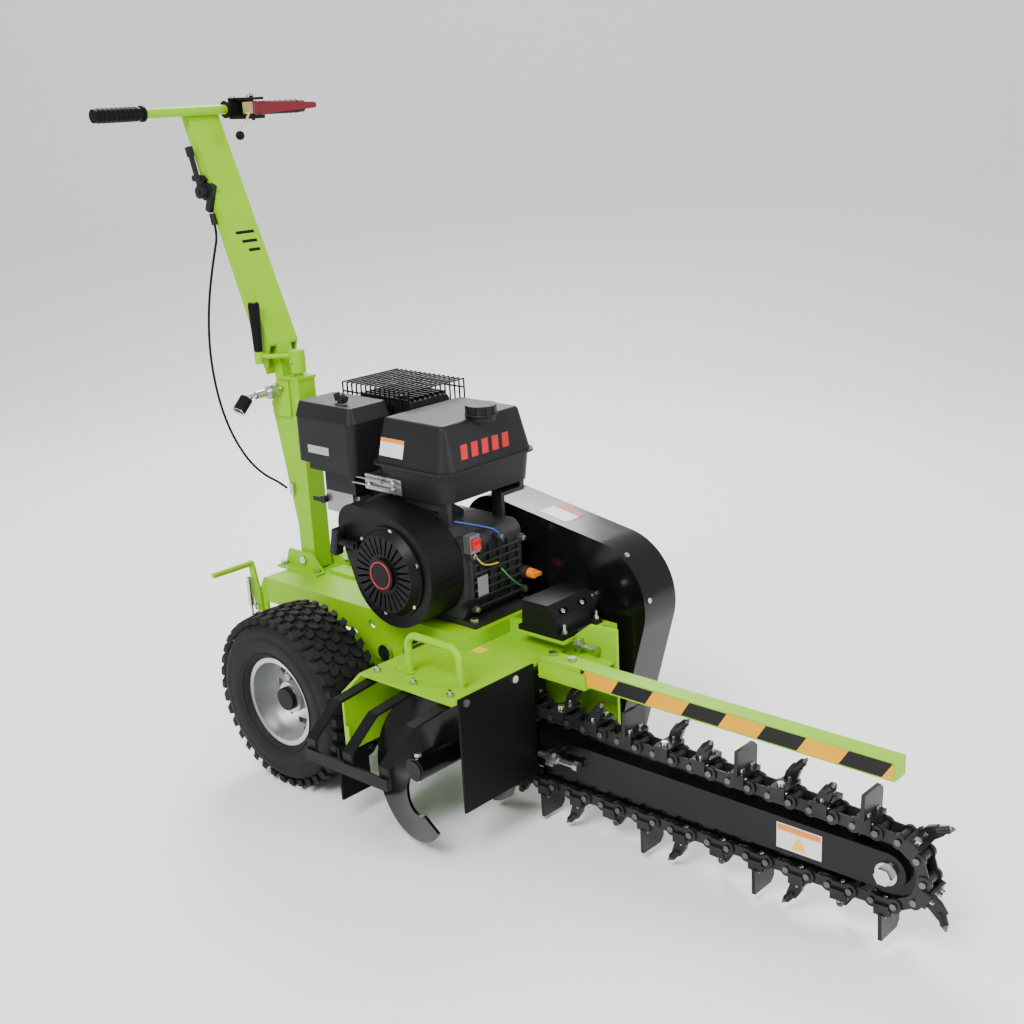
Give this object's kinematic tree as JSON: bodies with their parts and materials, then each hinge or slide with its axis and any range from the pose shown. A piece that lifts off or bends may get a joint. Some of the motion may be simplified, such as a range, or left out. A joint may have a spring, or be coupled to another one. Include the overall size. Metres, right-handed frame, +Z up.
{
  "type": "trencher",
  "caption": "Walk-behind petrol trencher on pneumatic wheels: boom with digging chain and safety bar, side auger, folding mast and height crank.",
  "frame": {"origin": "centre of the bounding box on the ground", "axes": "+X forward along the boom, +Y to the belt cover's side, +Z up"},
  "size_m": [2.0118, 0.843, 1.4919],
  "materials": {
    "tyre_rubber": "turf tread",
    "galvanised_steel": "galvanised",
    "green_paint": "lime green powder coat",
    "zinc_steel": "zinc plated",
    "black_paint": "gloss black",
    "black_rubber": "moulded",
    "black_plastic": "moulded",
    "red_paint": "dark red",
    "cast_alloy": "cast",
    "red_plastic": "moulded",
    "orange_plastic": "moulded"
  },
  "bodies": {
    "chassis": {"air_cleaner": "black_plastic", "auger_deck": "green_paint", "bar_bracket": "green_paint", "bearing_box": "black_paint", "belt_cover": "black_paint", "boom": "black_paint", "brake_spring": "zinc_steel", "carburettor": "cast_alloy", "chain_cutters": "black_paint", "column": "green_paint", "cover_backplate": "black_paint", "cylinder_head": "cast_alloy", "deck_handle": "green_paint", "digging_chain": "black_paint", "engine_bed": "green_paint", "engine_block": "cast_alloy", "fan_shroud": "black_paint", "frame_fasteners": "zinc_steel", "fuel_tank": "black_plastic", "guard_bars": "black_paint", "head_frame": "green_paint", "muffler": "black_paint", "muffler_guard": "black_paint", "recoil_cover": "black_paint", "rubber_flaps": "black_rubber", "safety_bar": "green_paint", "v_belts": "black_rubber"},
    "wheel_arm": {"wheel_arm": "green_paint"},
    "left_wheel": {"left_tyre": "tyre_rubber", "left_rim": "galvanised_steel"},
    "right_wheel": {"right_tyre": "tyre_rubber", "right_rim": "galvanised_steel"},
    "jack": {"jack_tube": "zinc_steel"},
    "crank": {"crank": "green_paint"},
    "crank_grip": {"crank_grip": "black_plastic"},
    "mast": {"mast": "green_paint", "grips": "black_rubber", "lever_bracket": "black_paint", "throttle_clamp": "zinc_steel", "throttle_cable": "black_rubber"},
    "clutch_lever": {"clutch_lever": "red_paint"},
    "lever_latch": {"lever_latch": "zinc_steel"},
    "throttle_lever": {"throttle_lever": "black_plastic"},
    "mast_clamp": {"mast_clamp": "zinc_steel"},
    "brake_lever": {"brake_lever": "green_paint"},
    "crankshaft": {"flywheel": "cast_alloy", "engine_pulley": "zinc_steel"},
    "jackshaft": {"jack_shaft": "zinc_steel"},
    "drive_shaft": {"drive_shaft": "zinc_steel", "head_sprocket": "black_paint", "auger": "black_paint"},
    "nose_idler": {"nose_idler": "black_paint"},
    "idler_arm": {"idler_arm": "zinc_steel"},
    "idler_roller": {"idler_roller": "zinc_steel"},
    "starter_handle": {"starter_handle": "black_plastic"},
    "fuel_cap": {"fuel_cap": "black_plastic"},
    "wing_nut": {"wing_nut": "black_plastic"},
    "choke_lever": {"choke_lever": "black_plastic"},
    "stop_rocker": {"stop_rocker": "red_plastic"},
    "dipstick": {"dipstick": "orange_plastic"}
  },
  "joints": [
    {"name": "height_swing", "type": "hinge", "parent": "chassis", "child": "wheel_arm", "pos_m": [-0.3389, 0.0875, 0.303], "axis": [0, 1, 0], "range_deg": [-2, 7.5]},
    {"name": "left_wheel_spin", "type": "hinge", "parent": "wheel_arm", "child": "left_wheel", "pos_m": [-0.5029, 0.3425, 0.205], "axis": [0, 1, 0], "continuous": true},
    {"name": "right_wheel_spin", "type": "hinge", "parent": "wheel_arm", "child": "right_wheel", "pos_m": [-0.5029, -0.1675, 0.205], "axis": [0, 1, 0], "continuous": true},
    {"name": "jack_slide", "type": "slide", "parent": "chassis", "child": "jack", "axis": [0, 0, 1], "range_m": [-0.01333, 0.05]},
    {"name": "crank_turn", "type": "hinge", "parent": "chassis", "child": "crank", "pos_m": [-0.7209, 0.0875, 0.88], "axis": [0, 0, 1], "range_deg": [0, 270]},
    {"name": "crank_grip_spin", "type": "hinge", "parent": "crank", "child": "crank_grip", "pos_m": [-0.7829, 0.0255, 0.98], "axis": [0, 0, 1], "continuous": true},
    {"name": "mast_fold", "type": "hinge", "parent": "chassis", "child": "mast", "pos_m": [-0.7649, 0.0875, 0.831], "axis": [0, -1, 0], "range_deg": [0, 70], "deforming": ["throttle_cable"]},
    {"name": "clutch_squeeze", "type": "hinge", "parent": "mast", "child": "clutch_lever", "pos_m": [-0.9159, 0.1835, 1.464], "axis": [0, 0, 1], "range_deg": [0, 10], "stiffness_Nm_per_rad": 3, "springref_deg": -8.59},
    {"name": "latch_flip", "type": "hinge", "parent": "mast", "child": "lever_latch", "pos_m": [-0.8979, 0.1535, 1.464], "axis": [1, 0, 0], "range_deg": [-20, 20]},
    {"name": "throttle_swing", "type": "hinge", "parent": "mast", "child": "throttle_lever", "pos_m": [-0.9309, 0.0275, 1.284], "axis": [0, 1, 0], "range_deg": [-5, 50]},
    {"name": "mast_clamp_turn", "type": "hinge", "parent": "chassis", "child": "mast_clamp", "pos_m": [-0.7649, 0.0275, 0.831], "axis": [0, 1, 0], "range_deg": [0, 60]},
    {"name": "brake_press", "type": "hinge", "parent": "chassis", "child": "brake_lever", "pos_m": [-0.7869, -0.0475, 0.316], "axis": [0, 1, 0], "range_deg": [-15, 15], "deforming": ["brake_spring"]},
    {"name": "crankshaft_spin", "type": "hinge", "parent": "chassis", "child": "crankshaft", "pos_m": [-0.2489, 0.0875, 0.526], "axis": [0, 1, 0], "continuous": true},
    {"name": "jackshaft_spin", "type": "hinge", "parent": "chassis", "child": "jackshaft", "pos_m": [0.0371, 0.1875, 0.428], "axis": [0, 1, 0], "continuous": true},
    {"name": "drive_shaft_spin", "type": "hinge", "parent": "chassis", "child": "drive_shaft", "pos_m": [-0.0749, 0.0875, 0.166], "axis": [0, 1, 0], "continuous": true},
    {"name": "nose_idler_spin", "type": "hinge", "parent": "chassis", "child": "nose_idler", "pos_m": [0.88826, 0.0215, 0.164], "axis": [0, 1, 0], "continuous": true},
    {"name": "idler_swing", "type": "hinge", "parent": "chassis", "child": "idler_arm", "pos_m": [-0.2409, 0.2765, 0.35], "axis": [0, -1, 0], "range_deg": [0, 13]},
    {"name": "idler_roller_spin", "type": "hinge", "parent": "idler_arm", "child": "idler_roller", "pos_m": [-0.1679, 0.2475, 0.3755], "axis": [0, 1, 0], "continuous": true},
    {"name": "starter_pull", "type": "slide", "parent": "chassis", "child": "starter_handle", "axis": [-1, 0, 0], "range_m": [0, 0.3], "stiffness_N_per_m": 20, "springref_m": -0.05},
    {"name": "fuel_cap_turn", "type": "hinge", "parent": "chassis", "child": "fuel_cap", "pos_m": [-0.1769, 0.1315, 0.84], "axis": [0, 0, 1], "range_deg": [0, 90]},
    {"name": "wing_nut_spin", "type": "hinge", "parent": "chassis", "child": "wing_nut", "pos_m": [-0.4829, 0.0075, 0.85], "axis": [0, 0, 1], "continuous": true},
    {"name": "choke_swing", "type": "hinge", "parent": "chassis", "child": "choke_lever", "pos_m": [-0.5509, -0.0105, 0.616], "axis": [0, 1, 0], "range_deg": [-30, 30]},
    {"name": "stop_rock", "type": "hinge", "parent": "chassis", "child": "stop_rocker", "pos_m": [-0.1069, 0.0225, 0.581], "axis": [0, 1, 0], "range_deg": [-6, 6]},
    {"name": "dipstick_turn", "type": "hinge", "parent": "chassis", "child": "dipstick", "pos_m": [-0.0989, 0.1835, 0.47], "axis": [1, 0, 0], "continuous": true}
  ],
  "couplings": [
    {"joint": "jack_slide", "follows": "height_swing", "m_per_rad": 0.382},
    {"joint": "idler_swing", "follows": "clutch_squeeze", "ratio": 1.3}
  ]
}
